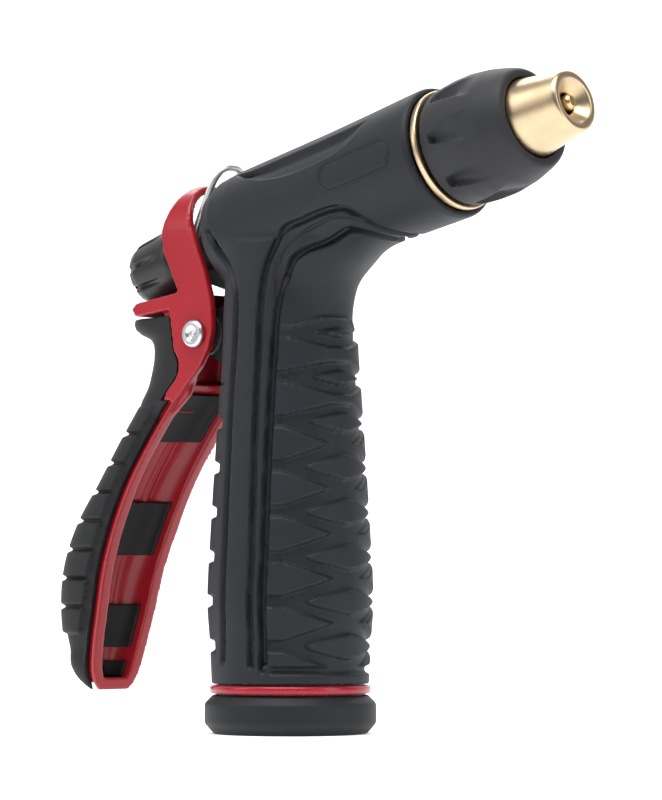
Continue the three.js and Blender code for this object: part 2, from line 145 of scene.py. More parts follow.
def softened(outline, radius, steps=4):
    """The closed outline with each corner off the axis rounded by about the radius."""
    rounded = []
    count = len(outline)
    for i, corner in enumerate(outline):
        here = np.array(corner, float)
        before = np.array(outline[i - 1], float) - here
        after = np.array(outline[(i + 1) % count], float) - here
        cut = min(radius, 0.45 * np.linalg.norm(before), 0.45 * np.linalg.norm(after))
        if here[0] < 1e-6 or cut < 1e-3:
            rounded.append(here)
            continue
        start = here + before / np.linalg.norm(before) * cut
        end = here + after / np.linalg.norm(after) * cut
        for t in np.linspace(0, 1, steps + 1):
            rounded.append((1 - t) ** 2 * start + 2 * t * (1 - t) * here + t * t * end)
    return np.array(rounded)


def subdivided(outline, longest):
    """The closed outline with its long edges cut into steps no longer than longest."""
    points = []
    for i, start in enumerate(outline):
        end = outline[(i + 1) % len(outline)]
        on_axis = start[0] < 1e-6 and end[0] < 1e-6
        steps = 1 if on_axis else max(1, math.ceil(np.linalg.norm(end - start) / longest))
        points.extend(start + (end - start) * k / steps for k in range(steps))
    return np.array(points)


def turned_points(outline, sides, shape=None):
    """Rings of a turned surface; shape(radius, height, angle) may change each radius."""
    angles = np.arange(sides) * 2 * math.pi / sides
    radius = np.repeat(outline[:, :1], sides, 1)
    height = np.repeat(outline[:, 1:], sides, 1)
    if shape is not None:
        radius = shape(radius, height, angles[None, :])
    return np.stack([radius * np.cos(angles), radius * np.sin(angles), height], 2).reshape(-1, 3)


def turned(name, outline, sides=96, soften=0.3, place="barrel", shape=None, longest=None):
    """A turned solid from (radius, height) corners, on the barrel axis or upright on the grip's."""
    rounded = softened(outline, soften) if soften else np.array(outline, float)
    if longest:
        rounded = subdivided(rounded, longest)
    points = turned_points(rounded, sides, shape)
    if place == "barrel":
        points = (BARREL_ORIGIN + points[:, 2:] * ALONG + points[:, :1] * UPWARD
                  + points[:, 1:2] * np.array([0.0, -1.0, 0.0]))
    return new_piece(name, points, grid_faces(len(rounded), sides, close_rows=True))


def cross_rod(name, outline, x, z, sides=64, soften=0.15):
    """A turned solid along Y about (x, z)."""
    rounded = softened(outline, soften)
    local = turned_points(rounded, sides)
    points = np.stack([x + local[:, 0], local[:, 2], z + local[:, 1]], 1)
    return new_piece(name, points, grid_faces(len(rounded), sides, close_rows=True))


def plate(name, corners, low, high):
    """A flat plate in the XZ plane between two y values."""
    count = len(corners)
    points = [(x, y, z) for y in (low, high) for x, z in corners]
    faces = [tuple(range(count)), tuple(range(count, 2 * count))]
    faces += [(i, (i + 1) % count, count + (i + 1) % count, count + i) for i in range(count)]
    return new_piece(name, points, faces)


def lofted(name, stations, columns, place):
    """A closed skin through rings: place(station, share round) gives a point."""
    shares = np.arange(columns) / columns
    points = [place(station, share) for station in stations for share in shares]
    rows = len(stations)
    faces = grid_faces(rows, columns)
    for row in (0, rows - 1):
        ring = range(row * columns, (row + 1) * columns)
        points.append(np.mean([points[i] for i in ring], axis=0))
        centre = len(points) - 1
        faces += [(row * columns + j, row * columns + (j + 1) % columns, centre) for j in range(columns)]
    return new_piece(name, points, faces)


def wire_tube(name, route, radius, sides=16):
    """A round wire along the route, with rounded ends."""
    route = np.array(route, float)
    tangents = np.gradient(route, axis=0)
    tangents /= np.linalg.norm(tangents, axis=1)[:, None]
    side = np.cross(tangents[0], [0.3, 0.2, 0.9])
    rings, centres, sizes = [], [], []
    caps = np.linspace(0, math.pi / 2, 5)[:-1]
    for a in caps:
        centres.append((route[0] - tangents[0] * radius * math.cos(a), tangents[0]))
        sizes.append(max(math.sin(a), 0.02))
    for point, tangent in zip(route, tangents):
        centres.append((point, tangent))
        sizes.append(1.0)
    for a in caps[::-1]:
        centres.append((route[-1] + tangents[-1] * radius * math.cos(a), tangents[-1]))
        sizes.append(max(math.sin(a), 0.02))
    for (centre, tangent), size in zip(centres, sizes):
        side = side - tangent * np.dot(side, tangent)
        side /= np.linalg.norm(side)
        other = np.cross(tangent, side)
        for k in range(sides):
            angle = 2 * math.pi * k / sides
            rings.append(centre + radius * size * (math.cos(angle) * side + math.sin(angle) * other))
    rows = len(centres)
    faces = grid_faces(rows, sides)
    faces += [tuple(range(sides)), tuple(range((rows - 1) * sides, rows * sides))]
    return new_piece(name, rings, faces)


def bake_modifiers(piece):
    """Puts the result of the piece's modifiers into its mesh."""
    graph = bpy.context.evaluated_depsgraph_get()
    result = bpy.data.meshes.new_from_object(piece.evaluated_get(graph))
    old = piece.data
    piece.modifiers.clear()
    piece.data = result
    result.name = piece.name
    bpy.data.meshes.remove(old)
    return piece


def combine(piece, others, operation):
    """Joins solids to the piece, or cuts them from it, and removes them."""
    for other in others:
        step = piece.modifiers.new(operation.lower(), "BOOLEAN")
        step.operation = operation
        step.solver = "MANIFOLD"
        step.object = other
    bake_modifiers(piece)
    for other in others:
        mesh = other.data
        bpy.data.objects.remove(other)
        bpy.data.meshes.remove(mesh)
    return piece


def remeshed(piece, voxel, rounding=0):
    """An even mesh of the piece, its edges rounded by a few smoothing steps."""
    step = piece.modifiers.new("even_mesh", "REMESH")
    step.mode = "VOXEL"
    step.voxel_size = voxel * MM
    bake_modifiers(piece)
    if rounding:
        step = piece.modifiers.new("round_edges", "SMOOTH")
        step.factor = 0.5
        step.iterations = rounding
        bake_modifiers(piece)
    return piece


def get_points(piece):
    points = np.empty(len(piece.data.vertices) * 3)
    piece.data.vertices.foreach_get("co", points)
    return points.reshape(-1, 3) / MM


def set_points(piece, points):
    piece.data.vertices.foreach_set("co", (points * MM).ravel())
    piece.data.update()


def smooth_shade(piece, sharp_degrees=40):
    piece.data.polygons.foreach_set("use_smooth", [True] * len(piece.data.polygons))
    if sharp_degrees:
        piece.data.set_sharp_from_angle(angle=math.radians(sharp_degrees))
    return piece


# ---- shader groups that several finishes share ----


def place_node(tree, kind, **sockets):
    """A shader node with some of its inputs set by name or number."""
    node = tree.nodes.new(kind)
    for key, value in sockets.items():
        name = key.replace("_", " ")
        node.inputs[name].default_value = value
    return node


def new_group(name, inputs, outputs):
    group = bpy.data.node_groups.new(name, "ShaderNodeTree")
    for label, kind, value in inputs:
        socket = group.interface.new_socket(label, in_out="INPUT", socket_type=kind)
        socket.default_value = value
    for label, kind in outputs:
        group.interface.new_socket(label, in_out="OUTPUT", socket_type=kind)
    return group, group.nodes.new("NodeGroupInput"), group.nodes.new("NodeGroupOutput")


def calculate(tree, operation, first, second, clamp=False):
    node = tree.nodes.new("ShaderNodeMath")
    node.operation = operation
    node.use_clamp = clamp
    for socket, value in zip(node.inputs, (first, second)):
        if isinstance(value, (int, float)):
            socket.default_value = value
        else:
            tree.links.new(value, socket)
    return node.outputs[0]


def noise(tree, scale, detail=3.0, roughness=0.55):
    """Fine noise over the object's own coordinates; scale is a number or a socket."""
    where = tree.nodes.new("ShaderNodeTexCoord")
    node = place_node(tree, "ShaderNodeTexNoise", Detail=detail, Roughness=roughness)
    tree.links.new(where.outputs["Object"], node.inputs["Vector"])
    if isinstance(scale, (int, float)):
        node.inputs["Scale"].default_value = scale
    else:
        tree.links.new(scale, node.inputs["Scale"])
    return node.outputs["Fac"]


def moulded_grain():
    """Two sizes of grain and a slow change of tone, for moulded and cast surfaces."""
    group, given, made = new_group(
        "moulded_grain",
        [("Grain Scale", "NodeSocketFloat", 2500.0), ("Coarse Share", "NodeSocketFloat", 0.4)],
        [("Height", "NodeSocketFloat"), ("Tone", "NodeSocketFloat")])
    fine = noise(group, given.outputs["Grain Scale"])
    coarse_scale = calculate(group, "MULTIPLY", given.outputs["Grain Scale"], 0.22)
    coarse = noise(group, coarse_scale, detail=2.0)
    tone_scale = calculate(group, "MULTIPLY", given.outputs["Grain Scale"], 0.03)
    weighted = calculate(group, "MULTIPLY", coarse, given.outputs["Coarse Share"])
    group.links.new(calculate(group, "ADD", fine, weighted), made.inputs["Height"])
    slow = noise(group, tone_scale, detail=4.0)
    speckle = calculate(group, "MULTIPLY", fine, 0.3)
    tone = calculate(group, "ADD", calculate(group, "MULTIPLY", slow, 0.7), speckle)
    group.links.new(tone, made.inputs["Tone"])
    return group


def edge_wear():
    """Where handling has rubbed the outer edges, broken up by noise."""
    group, given, made = new_group(
        "edge_wear",
        [("Sharpness", "NodeSocketFloat", 0.56), ("Amount", "NodeSocketFloat", 0.5)],
        [("Mask", "NodeSocketFloat")])
    shape = group.nodes.new("ShaderNodeNewGeometry")
    over = calculate(group, "SUBTRACT", shape.outputs["Pointiness"], given.outputs["Sharpness"])
    edge = calculate(group, "MULTIPLY", over, 14.0, clamp=True)
    broken = calculate(group, "MULTIPLY", edge, noise(group, 900.0))
    group.links.new(calculate(group, "MULTIPLY", broken, given.outputs["Amount"], clamp=True),
                    made.inputs["Mask"])
    return group


def settled_dust():
    """Thin dust on what faces up and in the creases."""
    group, given, made = new_group(
        "settled_dust", [("Amount", "NodeSocketFloat", 0.1)], [("Mask", "NodeSocketFloat")])
    shape = group.nodes.new("ShaderNodeNewGeometry")
    parts = group.nodes.new("ShaderNodeSeparateXYZ")
    group.links.new(shape.outputs["Normal"], parts.inputs[0])
    facing_up = calculate(group, "MULTIPLY", parts.outputs["Z"], 0.8, clamp=True)
    crease = calculate(group, "MULTIPLY",
                       calculate(group, "SUBTRACT", 0.48, shape.outputs["Pointiness"]), 8.0, clamp=True)
    both = calculate(group, "ADD", facing_up, crease, clamp=True)
    patchy = calculate(group, "MULTIPLY", both, noise(group, 300.0, detail=5.0))
    group.links.new(calculate(group, "MULTIPLY", patchy, given.outputs["Amount"], clamp=True),
                    made.inputs["Mask"])
    return group


def turning_marks():
    """Fine rings round the barrel axis, as a lathe leaves them."""
    group, given, made = new_group(
        "turning_marks", [("Rings Scale", "NodeSocketFloat", 9000.0)],
        [("Height", "NodeSocketFloat"), ("Tone", "NodeSocketFloat")])
    where = group.nodes.new("ShaderNodeTexCoord")
    along = group.nodes.new("ShaderNodeVectorMath")
    along.operation = "DOT_PRODUCT"
    along.inputs[1].default_value = tuple(ALONG)
    group.links.new(where.outputs["Object"], along.inputs[0])
    rings = group.nodes.new("ShaderNodeTexNoise")
    rings.noise_dimensions = "1D"
    rings.inputs["Detail"].default_value = 4.0
    scaled = calculate(group, "MULTIPLY", along.outputs["Value"], given.outputs["Rings Scale"])
    group.links.new(scaled, rings.inputs["W"])
    group.links.new(rings.outputs["Fac"], made.inputs["Height"])
    stains = noise(group, 160.0, detail=5.0)
    blend = calculate(group, "ADD", calculate(group, "MULTIPLY", stains, 0.6),
                      calculate(group, "MULTIPLY", rings.outputs["Fac"], 0.4))
    group.links.new(blend, made.inputs["Tone"])
    return group


GRAIN, WEAR, DUST, MARKS = moulded_grain(), edge_wear(), settled_dust(), turning_marks()


# ---- finishes ----


def new_material(name, **shader):
    material = bpy.data.materials.new(name)
    material.use_nodes = True
    tree = material.node_tree
    surface = tree.nodes["Principled BSDF"]
    for key, value in shader.items():
        surface.inputs[key.replace("_", " ")].default_value = value
    return material, tree, surface


def use_group(tree, group, **values):
    node = tree.nodes.new("ShaderNodeGroup")
    node.node_tree = group
    for key, value in values.items():
        node.inputs[key.replace("_", " ")].default_value = value
    return node


def mixed_colour(tree, factor, first, second):
    """A colour between two, each a colour or a socket."""
    node = tree.nodes.new("ShaderNodeMix")
    node.data_type = "RGBA"
    tree.links.new(factor, node.inputs[0])
    for socket, value in zip((node.inputs[6], node.inputs[7]), (first, second)):
        if isinstance(value, tuple):
            socket.default_value = (*value, 1.0)
        else:
            tree.links.new(value, socket)
    return node.outputs[2]


def between(tree, factor, low, high):
    """Turns a 0.3 to 0.7 noise into a value from low to high."""
    node = place_node(tree, "ShaderNodeMapRange", From_Min=0.3, From_Max=0.7, To_Min=low, To_Max=high)
    tree.links.new(factor, node.inputs["Value"])
    return node.outputs["Result"]


def add_bump(tree, surface, height, strength, depth_mm):
    bump = place_node(tree, "ShaderNodeBump", Strength=strength, Distance=depth_mm * MM)
    tree.links.new(height, bump.inputs["Height"])
    tree.links.new(bump.outputs["Normal"], surface.inputs["Normal"])


def moulded(name, dark, light, worn, roughness, grain, bump, dust=0.03, wear=0.4, **shader):
    """Rubber, plastic or paint: grain, slow tone, rubbed edges and a little dust."""
    material, tree, surface = new_material(name, **shader)
    skin = use_group(tree, GRAIN, Grain_Scale=grain)
    rubbed = use_group(tree, WEAR, Amount=wear)
    dusty = use_group(tree, DUST, Amount=dust)
    colour = mixed_colour(tree, between(tree, skin.outputs["Tone"], 0.0, 1.0), dark, light)
    colour = mixed_colour(tree, rubbed.outputs["Mask"], colour, worn)
    colour = mixed_colour(tree, dusty.outputs["Mask"], colour, (0.34, 0.33, 0.31))
    tree.links.new(colour, surface.inputs["Base Color"])
    rough = between(tree, skin.outputs["Tone"], roughness - 0.05, roughness + 0.06)
    rough = calculate(tree, "ADD", rough, calculate(tree, "MULTIPLY", dusty.outputs["Mask"], 0.5), clamp=True)
    tree.links.new(rough, surface.inputs["Roughness"])
    add_bump(tree, surface, skin.outputs["Height"], 1.0, bump)
    return material


def machined(name, dark, light, roughness, bump=0.004, rings=9000.0, **shader):
    """Turned metal with fine rings and faint handling stains."""
    material, tree, surface = new_material(name, Metallic=1.0, **shader)
    marks = use_group(tree, MARKS, Rings_Scale=rings)
    colour = mixed_colour(tree, between(tree, marks.outputs["Tone"], 0.0, 1.0), dark, light)
    tree.links.new(colour, surface.inputs["Base Color"])
    rough = between(tree, marks.outputs["Tone"], roughness + 0.07, roughness - 0.05)
    tree.links.new(rough, surface.inputs["Roughness"])
    add_bump(tree, surface, marks.outputs["Height"], 1.0, bump)
    return material


def cast_or_plated(name, dark, light, roughness, grain, bump):
    """Metal with the fine unevenness of a casting or of plating."""
    material, tree, surface = new_material(name, Metallic=1.0)
    skin = use_group(tree, GRAIN, Grain_Scale=grain)
    colour = mixed_colour(tree, between(tree, skin.outputs["Tone"], 0.0, 1.0), dark, light)
    tree.links.new(colour, surface.inputs["Base Color"])
    rough = between(tree, skin.outputs["Tone"], roughness + 0.08, roughness - 0.05)
    tree.links.new(rough, surface.inputs["Roughness"])
    add_bump(tree, surface, skin.outputs["Height"], 1.0, bump)
    return material


FINISHES = {
    "jacket_rubber": moulded("jacket_rubber", (0.0075, 0.0090, 0.0125), (0.0115, 0.0135, 0.0180),
                             (0.048, 0.053, 0.062), 0.55, 3200.0, 0.02, Specular_IOR_Level=0.28),
    "boot_rubber": moulded("boot_rubber", (0.0075, 0.0088, 0.0105), (0.0110, 0.0125, 0.0145),
                           (0.042, 0.046, 0.052), 0.55, 2600.0, 0.02, Specular_IOR_Level=0.28),
    "pad_rubber": moulded("pad_rubber", (0.0060, 0.0065, 0.0070), (0.0095, 0.0100, 0.0110),
                          (0.036, 0.037, 0.040), 0.6, 3000.0, 0.02, Specular_IOR_Level=0.28),
    "sleeve_rubber": moulded("sleeve_rubber", (0.0160, 0.0165, 0.0195), (0.0220, 0.0228, 0.0265),
                             (0.058, 0.060, 0.067), 0.55, 3200.0, 0.02, Specular_IOR_Level=0.28),
    "seal_rubber": moulded("seal_rubber", (0.008, 0.008, 0.009), (0.014, 0.014, 0.015),
                           (0.03, 0.03, 0.03), 0.5, 3000.0, 0.01, Specular_IOR_Level=0.28),
    "knob_plastic": moulded("knob_plastic", (0.0085, 0.0082, 0.0095), (0.0125, 0.0122, 0.0138),
                            (0.045, 0.045, 0.048), 0.38, 2400.0, 0.008, Specular_IOR_Level=0.4),
    "ring_plastic": moulded("ring_plastic", (0.29, 0.0060, 0.0200), (0.34, 0.0090, 0.0250),
                            (0.48, 0.06, 0.08), 0.24, 1800.0, 0.003, dust=0.02, wear=0.2,
                            Coat_Weight=0.15, Coat_Roughness=0.12, Specular_IOR_Level=0.35),
    "lever_paint": moulded("lever_paint", (0.27, 0.0060, 0.0130), (0.32, 0.0090, 0.0170),
                           (0.46, 0.07, 0.08), 0.32, 1500.0, 0.006, dust=0.02, wear=0.25,
                           Coat_Weight=0.12, Coat_Roughness=0.15, Specular_IOR_Level=0.35),
    "tip_brass": machined("tip_brass", (0.52, 0.39, 0.24), (0.64, 0.51, 0.33), 0.3),
    "inner_brass": machined("inner_brass", (0.55, 0.38, 0.16), (0.70, 0.51, 0.25), 0.3),
    "rivet_steel": cast_or_plated("rivet_steel", (0.56, 0.56, 0.60), (0.70, 0.71, 0.75), 0.30, 2500.0, 0.01),
    "wire_steel": cast_or_plated("wire_steel", (0.66, 0.67, 0.68), (0.78, 0.79, 0.80), 0.36, 3000.0, 0.002),
    "body_zinc": moulded("body_zinc", (0.020, 0.020, 0.022), (0.028, 0.028, 0.031),
                         (0.10, 0.10, 0.105), 0.45, 2200.0, 0.02, Specular_IOR_Level=0.45),
}


def fitted(piece, body, slot, *nodes, sharp_degrees=40):
    """Finishes a piece: shading, material, body, slot and the frame nodes it stands for."""
    smooth_shade(piece, sharp_degrees)
    piece.data.materials.clear()
    piece.data.materials.append(FINISHES[slot])
    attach(piece, body)
    if nodes:
        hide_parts(*nodes)
    return piece


# ---- body: shape of the jacket ----

grip_radius = smooth_curve([(JACKET_BOTTOM, 17.6), (20, 18), (30, 18.6), (45, 17.9), (60, 17), (75, 16),
                            (85, 15.3), (95, 15), (110, 14)])
BARREL_OUTLINE = [(0, BODY_REAR), (10, BODY_REAR), (12.2, -16.6), (13.5, -13), (13.9, -8), (14, 6),
                  (14.1, 20),
                  (14.4, 33), (14.7, 43), (14.8, 47.4), (14.4, COLLAR_FRONT), (0, COLLAR_FRONT)]
GRIP_TOP = 109.0
SIDE_BLEND, FRONT_BLEND = 3.0, 16.0


def barrel_coordinates(points):
    """Along, out and angle from the top (degrees, 0 to 180) of points round the barrel axis."""
    away = points - BARREL_ORIGIN
    s = away @ ALONG
    up = away @ UPWARD
    out = np.hypot(up, points[:, 1])
    return s, out, np.degrees(np.arctan2(np.abs(points[:, 1]), up))


def body_field(points):
    """Distance outside the jacket's plain shape: grip and barrel, with a wide curve in the throat."""
    x, y, z = points.T
    out = np.hypot(x, y)
    grip = np.maximum(out - grip_radius(z), z - GRIP_TOP)
    s, barrel_out, _ = barrel_coordinates(points)
    outline = np.array(BARREL_OUTLINE[1:-1], float)
    barrel = barrel_out - np.interp(s, outline[:, 1], outline[:, 0])
    barrel = np.maximum(barrel, np.maximum(BODY_REAR - s, s - COLLAR_FRONT))
    under = 1 - ease((points - BARREL_ORIGIN) @ UPWARD, -13, -5)
    throat = ease(x / np.maximum(out, 1e-6), 0.42, 0.92) * under
    blend = SIDE_BLEND + (FRONT_BLEND - SIDE_BLEND) * throat
    share = np.clip(0.5 + 0.5 * (barrel - grip) / blend, 0, 1)
    joined = barrel * (1 - share) + grip * share - blend * share * (1 - share)
    return np.maximum(joined, JACKET_BOTTOM - z)


def field_slope(points, step=0.05):
    slope = np.stack([(body_field(points + step * axis) - body_field(points - step * axis)) / (2 * step)
                      for axis in np.eye(3)], 1)
    return slope / np.maximum(np.linalg.norm(slope, axis=1), 1e-6)[:, None]


# Lines on the side of the body, as (x, z): outer groove, its inner step, the broad inner groove,
# and the groove behind the flat band.
OUTER_GROOVE = [(3.9, 15.5), (4.4, 38), (4.0, 62), (3.8, 80), (4.1, 95), (4.8, 102.5), (6.2, 107),
                (9.3, 111.3),
                (14.5, 112.9), (20, 114.4), (24.5, 115.1), (27.5, 114.8), (30.2, 113.2), (33.5, 110.6),
                (38.7, 108.8)]
STEP_LINE = [(7.4, 104), (9.2, 107.4), (13.5, 110.2), (18.4, 112), (22.8, 113.3), (25.8, 113.4),
             (28.6, 112.9),
             (31, 111.8), (34, 110)]
INNER_GROOVE = [(6.7, 14.8), (7.0, 26), (7.2, 40), (7.1, 55), (7.1, 72), (7.3, 88), (8.0, 96),
                (9.2, 101.4), (11, 104.6), (14.6, 106.6), (19.2, 107.9), (23, 109.6), (26, 110.6), (29, 110),
                (33, 108.6), (36.5, 107.4)]
REAR_GROOVE = [(-4.6, 16.5), (-3.8, 26), (-3.6, 40), (-3.6, 60), (-3.6, 78), (-3.1, 90), (-3.1, 95),
               (-3.8, 99.5),
               (-6.4, 103.3), (-9.8, 107.4), (-13.2, 112.4)]


def side_line(points):
    """The smooth line through (x, z) points, laid on the side of the body."""
    flat = spline(points, 500)
    low, high = np.full(len(flat), 0.5), np.full(len(flat), 24.0)
    for _ in range(30):
        middle = (low + high) / 2
        outside = body_field(np.stack([flat[:, 0], -middle, flat[:, 1]], 1)) > 0
        high = np.where(outside, middle, high)
        low = np.where(outside, low, middle)
    return np.stack([flat[:, 0], low, flat[:, 1]], 1)


def line_distance(points, line):
    """Distance of each point from a line drawn on both sides of the body."""
    folded = points * [1, 0, 1] + np.abs(points) * [0, 1, 0]
    starts, steps = line[:-1], np.diff(line, axis=0)
    lengths = np.maximum((steps ** 2).sum(1), 1e-9)
    tree = KDTree(len(starts))
    for number, place in enumerate(starts + steps / 2):
        tree.insert(Vector(place), number)
    tree.balance()
    nearest = np.fromiter((tree.find(Vector(place))[1] for place in folded), int, len(folded))
    along = np.clip(((folded - starts[nearest]) * steps[nearest]).sum(1) / lengths[nearest], 0, 1)
    return np.linalg.norm(folded - starts[nearest] - steps[nearest] * along[:, None], axis=1)


def groove(points, line, half_width, depth):
    gap = line_distance(points, side_line(line))
    return depth * (1 - ease(gap, half_width * 0.35, half_width * 1.25))


PAD_PITCH = 9.93
LOWEST_LEAF, LOWEST_WEDGE = 19.5, 14.7
VALLEY = 1.15
PAD_EDGE = 0.75


def leaf_pads(turn, z, count, tip_turn, half_height):
    """How far inside an almond-shaped pad each point is, in millimetres."""
    inside = np.full(len(z), -9.0)
    for k in range(count):
        shrink = max(0, k - 4) if count > 6 else 0
        tip = tip_turn - 3.4 * shrink
        half = half_height * (1 - 0.2 * shrink)
        reach = half * np.maximum(1 - np.hypot(turn, 3.0) / tip, 0) ** 0.6
        inside = np.maximum(inside, np.where(reach > 0, reach, -9) - np.abs(z - LOWEST_LEAF - k * PAD_PITCH))
    return inside


def wedge_pads(turn, z, count, tip_turn, shoulder_turn):
    """How far inside a wedge each point is: blunt by the groove, pointing to the middle."""
    inside = np.full(len(z), -9.0)
    for k in range(count):
        blunt = {6: 1.5, 7: 2.0}.get(k, 0.0)
        rise = np.clip((turn - tip_turn) / (shoulder_turn - tip_turn), 0 if blunt else -1, 1)
        reach = blunt + (4.1 - blunt) * rise
        inside = np.maximum(inside, reach - np.abs(z - LOWEST_WEDGE - k * PAD_PITCH))
    return inside


def jacket_relief(points):
    """How far the moulded pattern is sunk below the plain shape, in millimetres."""
    x, y, z = points.T
    turn = np.degrees(np.arctan2(np.abs(y), x))
    behind = 180 - turn
    front_top = 90.4 + 2.3 * (1 - ease(turn, 12, 50))
    below_panel = 1 - ease(z, front_top - 0.7, front_top + 0.1)
    in_front = (1 - ease(turn, 63.5, 66)) * below_panel * ease(z, 13.6, 14.2)
    front = np.maximum(leaf_pads(turn, z, 8, 38, 3.3), wedge_pads(turn, z, 8, 12.4, 53.6))
    relief = VALLEY * in_front * (1 - ease(front, 0, PAD_EDGE))
    panel = (1 - ease(turn, 60, 63)) * ease(z, front_top - 0.7, front_top + 0.1) * (1 - ease(z, 99, 106))
    relief = np.maximum(relief, VALLEY * panel)
    in_rear = ease(turn, 115.5, 117) * (1 - ease(z, 77.9, 78.6)) * ease(z, 15.2, 15.8)
    rear = np.maximum(leaf_pads(behind, z, 6, 24, 2.6), wedge_pads(behind, z, 7, 6, 30))
    relief = np.maximum(relief, VALLEY * in_rear * (1 - ease(rear, 0, PAD_EDGE)))
    bottom = 1.15 * (1 - ease(np.abs(z - 14.4), 0.35, 1.25)) * (1 - ease(turn, 60, 66))
    relief = np.maximum(relief, bottom)
    for line, half_width, depth in ((OUTER_GROOVE, 0.85, 1.35), (STEP_LINE, 0.45, 0.45),
                                    (INNER_GROOVE, 1.0, 1.95), (REAR_GROOVE, 0.95, 1.35)):
        relief = np.maximum(relief, groove(points, line, half_width, depth))
    return np.maximum(relief, np.maximum(scoop(points), plaque(points)))


scoop_low = smooth_curve([(-8, 28), (-4, 44), (-0.9, 51.5), (4.8, 62), (11.6, 68), (20, 69), (26.6, 67),
                          (30.8, 62),
                          (34.6, 46), (36, 40)])
scoop_high = smooth_curve([(-8, 28), (-4, 36), (2, 40), (10, 40), (30, 41), (34, 40), (36, 40)])


def scoop(points):
    """The long hollow on each side of the ridge along the top of the barrel."""
    s, _, angle = barrel_coordinates(points)
    low, high = scoop_low(s), scoop_high(s)
    share = (angle - high) / np.maximum(low - high, 0.5)
    across = ease(share, 0, 0.2) * (1 - 0.65 * np.clip(share, 0, 1)) * (1 - ease(share, 0.9, 1.0))
    return 1.5 * across * ease(s, -8, -2) * (1 - ease(s, 27, 36))


def plaque(points):
    """A blank bar-shaped panel on each side of the barrel, with a fine line round it."""
    s, out, angle = barrel_coordinates(points)
    along = np.maximum(np.abs(s - 32.5) - 7.5, 0)
    across = (angle - 86) * math.pi / 180 * out
    edge = np.hypot(along, across) - 3.1
    line = 0.45 * (1 - ease(np.abs(edge), 0.15, 0.5))
    return np.maximum(line, 0.18 * (1 - ease(edge, -0.2, 0.1)))


def core_solids(margin, sides=96):
    """The casting's outside, grown by a margin: grip core, hose socket and barrel core."""
    grip, foot, barrel = GRIP_CORE + margin, SOCKET_WALL + margin, BARREL_CORE + margin
    upright = turned("core_grip", [(0, 9.3), (foot, 9.3), (foot, 15 + margin), (grip, 19 + margin),
                                   (grip, 108), (0, 108)], sides, 0, place="grip")
    rear, front = -15.5 - margin, 45.5 + margin
    along = turned("core_barrel", [(0, rear), (barrel - 3, rear), (barrel, rear + 3), (barrel, front),
                                   (0, front)], sides, 0)
    return upright, along


def grip_jacket():
    heights = np.concatenate([np.arange(JACKET_BOTTOM, GRIP_TOP, 1.5), [GRIP_TOP]])

    def ring(z, share):
        radius, turn = float(grip_radius(z)), share * 2 * math.pi
        return (radius * math.cos(turn), radius * math.sin(turn), z)

    jacket = lofted("grip_jacket_surface", heights, 120, ring)
    combine(jacket, [turned("barrel_skin", BARREL_OUTLINE, 120, 0)], "UNION")
    for voxel, steps in ((1.0, 9), (0.34, 4)):
        remeshed(jacket, voxel)
        points = get_points(jacket)
        for _ in range(steps):
            points = points - np.clip(body_field(points), -1, 1)[:, None] * field_slope(points)
        set_points(jacket, points)
    set_points(jacket, points - jacket_relief(points)[:, None] * field_slope(points))
    opening = turned("openings", [(0, -30), (6.6, -30), (6.6, 0), (BARREL_CORE, 0), (BARREL_CORE, 45),
                                  (13.3, 46.2), (13.8, 50), (0, 50)], 96, 0)
    slot_half = 7.4
    slot = plate("lug_slot", [(PIVOT_X - 8, PIVOT_Z - 11), (0, PIVOT_Z - 11), (0, PIVOT_Z + 11),
                              (PIVOT_X - 8, PIVOT_Z + 11)], -slot_half, slot_half)
    foot = turned("foot_bore", [(0, 0), (SOCKET_WALL + GAP, 0), (SOCKET_WALL + GAP, 12), (0, 12)], 96, 0,
                  "grip")
    combine(jacket, [*core_solids(GAP), opening, slot, foot], "DIFFERENCE")
    return fitted(jacket, "body", "jacket_rubber", "grip_jacket", sharp_degrees=50)


def body_casting():
    casting, along = core_solids(0)
    socket = turned("socket", [(0, 1.6), (SOCKET_WALL, 1.6), (SOCKET_WALL, 10), (0, 10)], 96, 0, "grip")
    boss = turned("rear_boss", [(0, -26.5), (6.3, -26.5), (6.3, 0), (0, 0)], 64, 0.4)
    lug = cross_rod("lug", [(0, -7), (4.6, -7), (4.6, 7), (0, 7)], PIVOT_X, PIVOT_Z, 48, 0.5)
    web = plate("lug_web", [(PIVOT_X - 1.5, PIVOT_Z - 4.4), (-9, PIVOT_Z - 9), (-9, PIVOT_Z + 9),
                            (PIVOT_X - 1.5, PIVOT_Z + 4.4)], -5.6, 5.6)
    boss_web = plate("boss_web", [(-20.5, 104.5), (-12, 104.5), (-12, 99.8), (-15, 99.8), (-19.5, 101.2)],
                     -5.6, 5.6)
    combine(casting, [along, socket, boss, boss_web, lug, web], "UNION")
    waterway = turned("waterway", [(0, 0), (HOSE_SOCKET, 0), (HOSE_SOCKET, SOCKET_TOP),
                                   (WATERWAY, SOCKET_TOP),
                                   (WATERWAY, 112), (0, 112)], 96, 0, "grip")
    bores = turned("bores", [(0, -30), (4, -30), (4, -20), (STEM_BORE, -20), (STEM_BORE, -12), (8.5, -12),
                             (8.5, 25.7), (9.6, 25.7), (9.6, 50), (0, 50)], 64, 0)
    clip_x, _, clip_z = barrel_point(CLIP_S, CLIP_UP)
    clip_hole = cross_rod("clip_hole", [(0, -8), (1.1, -8), (1.1, 8), (0, 8)], clip_x, clip_z, 24, 0)
    rivet_hole = cross_rod("rivet_hole", [(0, -9), (1.9, -9), (1.9, 9), (0, 9)], PIVOT_X, PIVOT_Z, 32, 0)
    combine(casting, [waterway, bores, clip_hole, rivet_hole], "DIFFERENCE")
    casting.name = "zinc_casting"
    return fitted(casting, "body", "body_zinc", "body_casting", sharp_degrees=30)


